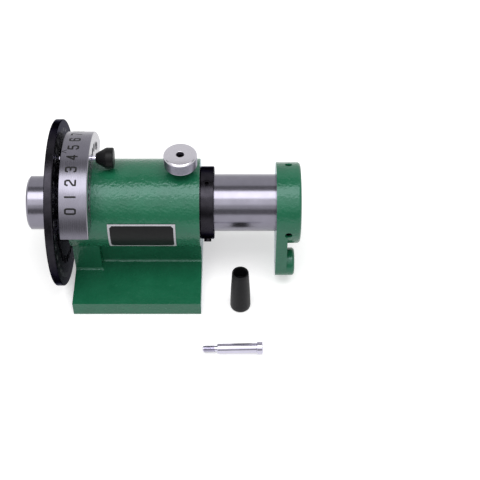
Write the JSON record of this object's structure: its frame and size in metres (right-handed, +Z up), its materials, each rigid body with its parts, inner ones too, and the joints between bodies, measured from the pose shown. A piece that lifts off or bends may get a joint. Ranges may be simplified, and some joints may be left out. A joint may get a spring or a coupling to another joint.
{
  "type": "spin index",
  "caption": "Plain dividing head: horizontal collet spindle in a cast pedestal, with an index plate and vernier ring, an index pin, a spindle lock, and a draw tube turned by a crank.",
  "frame": {"origin": "on the base face, under the spindle axis, at the middle of the casting's length", "axes": "+X along the spindle from the index plate to the crank, +Y away from the operator, +Z up"},
  "size_m": [0.2225, 0.174, 0.1386],
  "materials": {
    "green_paint": "glossy textured green enamel on grey iron",
    "ground_steel": "turned and ground bright steel",
    "black_oxide_steel": "black oxide, oiled",
    "aluminium": "turned and knurled",
    "brass": "turned",
    "black_plastic": "moulded, satin",
    "nameplate_foil": "black field with a bright border"
  },
  "bodies": {
    "housing": {"housing": "green_paint", "vernier_ring": "ground_steel", "vernier_ring_screws": "black_oxide_steel", "vernier_ring_dowels": "ground_steel", "nameplate": "nameplate_foil", "handle_grip": "black_plastic", "handle_screw": "ground_steel"},
    "spindle": {"spindle": "ground_steel", "index_plate": "black_oxide_steel", "index_plate_screws": "black_oxide_steel", "collet_key_pin": "ground_steel", "lock_collar": "black_oxide_steel", "lock_collar_screws": "black_oxide_steel"},
    "crank": {"crank": "green_paint", "crank_set_screws": "black_oxide_steel", "draw_tube": "ground_steel"},
    "index_pin": {"index_pin": "ground_steel", "index_pin_knob": "black_plastic"},
    "lock_pad": {"lock_pad": "brass"},
    "lock_knob": {"lock_screw": "black_oxide_steel", "lock_knob": "aluminium"}
  },
  "joints": [
    {"name": "spindle_turn", "type": "hinge", "parent": "housing", "child": "spindle", "pos_m": [0, 0, 0.07], "axis": [1, 0, 0], "continuous": true},
    {"name": "crank_turn", "type": "hinge", "parent": "spindle", "child": "crank", "pos_m": [0.125, 0, 0.07], "axis": [1, 0, 0], "continuous": true},
    {"name": "index_pin_slide", "type": "slide", "parent": "housing", "child": "index_pin", "axis": [1, 0, 0], "range_m": [-0.0035, 0.022]},
    {"name": "lock_travel", "type": "slide", "parent": "housing", "child": "lock_pad", "axis": [0, 0, 1], "range_m": [-0.0003, 0.0025]},
    {"name": "lock_turn", "type": "hinge", "parent": "lock_pad", "child": "lock_knob", "pos_m": [0.0383, 0, 0.11], "axis": [0, 0, 1], "range_deg": [-87, 721]}
  ],
  "couplings": [
    {"joint": "lock_turn", "follows": "lock_travel", "rad_per_m": 5026.5}
  ]
}
